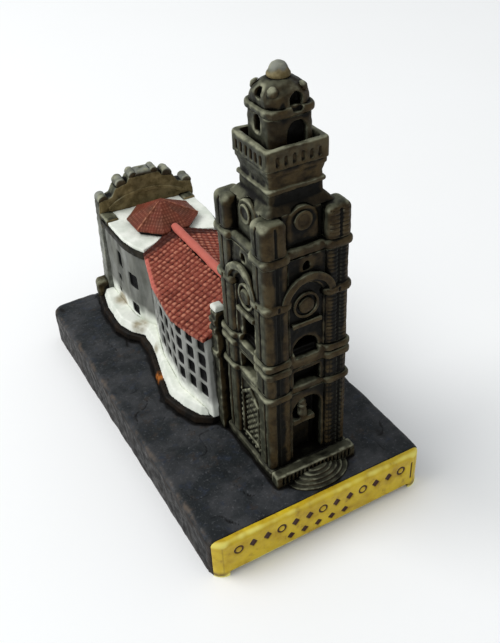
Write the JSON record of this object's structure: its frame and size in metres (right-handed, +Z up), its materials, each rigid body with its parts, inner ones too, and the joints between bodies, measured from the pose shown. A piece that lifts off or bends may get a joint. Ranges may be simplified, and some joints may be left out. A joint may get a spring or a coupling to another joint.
{
  "type": "miniature landmark model",
  "caption": "Hand-painted cast-resin souvenir of a baroque bell tower with a red-roofed church behind it on a rectangular slate-coloured base.",
  "frame": {"origin": "centre of the base's footprint, on the face it rests on", "axes": "+Z up; -Y towards the tower end and the plaque; +X to the right when facing the plaque; the base's long side runs along Y"},
  "size_m": [0.051, 0.0956, 0.0938],
  "materials": {
    "brown_paint": "hand-painted cast resin, satin, dark brown",
    "dark_paint": "hand-painted cast resin, satin, near-black brown wash",
    "plaster_paint": "hand-painted cast resin, satin, off-white with grey wash",
    "slate_paint": "hand-painted cast resin, satin, mottled slate grey",
    "stone_paint": "hand-painted cast resin, satin, olive-grey stone with dark wash and pale edges",
    "tile_paint": "hand-painted cast resin, satin, brick red with paler dry-brushed tiles",
    "yellow_paint": "hand-painted cast resin, satin, bright yellow"
  },
  "bodies": {
    "root": {"base_slab": "slate_paint", "dome": "stone_paint", "dome_urns": "stone_paint", "entrance_landing": "stone_paint", "entrance_steps": "stone_paint", "facade_buttresses": "stone_paint", "facade_crown": "stone_paint", "facade_moulding": "stone_paint", "facade_returns": "stone_paint", "facade_scrolls": "stone_paint", "facade_wall": "stone_paint", "finial": "stone_paint", "front_plaque": "yellow_paint", "gallery_cornice": "stone_paint", "gallery_parapet": "stone_paint", "ground_curb": "dark_paint", "house_ridge_cap": "tile_paint", "house_roof": "tile_paint", "house_walls": "plaster_paint", "lantern": "stone_paint", "lantern_cornice": "stone_paint", "link_caps": "plaster_paint", "link_wall": "stone_paint", "nave_cornice": "brown_paint", "nave_hip_roof": "tile_paint", "nave_roof_drum": "brown_paint", "nave_terrace": "plaster_paint", "nave_walls": "plaster_paint", "plaster_skirt": "plaster_paint", "tower_arch_hoods": "stone_paint", "tower_attic_piers": "stone_paint", "tower_attic_storey": "stone_paint", "tower_bell_course": "stone_paint", "tower_clock_dials": "stone_paint", "tower_clock_piers": "stone_paint", "tower_clock_storey": "stone_paint", "tower_door_leaf": "stone_paint", "tower_door_piers": "stone_paint", "tower_door_storey": "stone_paint", "tower_double_course": "stone_paint", "tower_ledge_course": "stone_paint", "tower_neck": "stone_paint", "tower_niche_statue": "stone_paint", "tower_plinth": "stone_paint", "tower_shield_reliefs": "stone_paint", "tower_side_gablets": "stone_paint", "tower_window_piers": "stone_paint", "tower_window_storey": "stone_paint"}
  },
  "joints": []
}
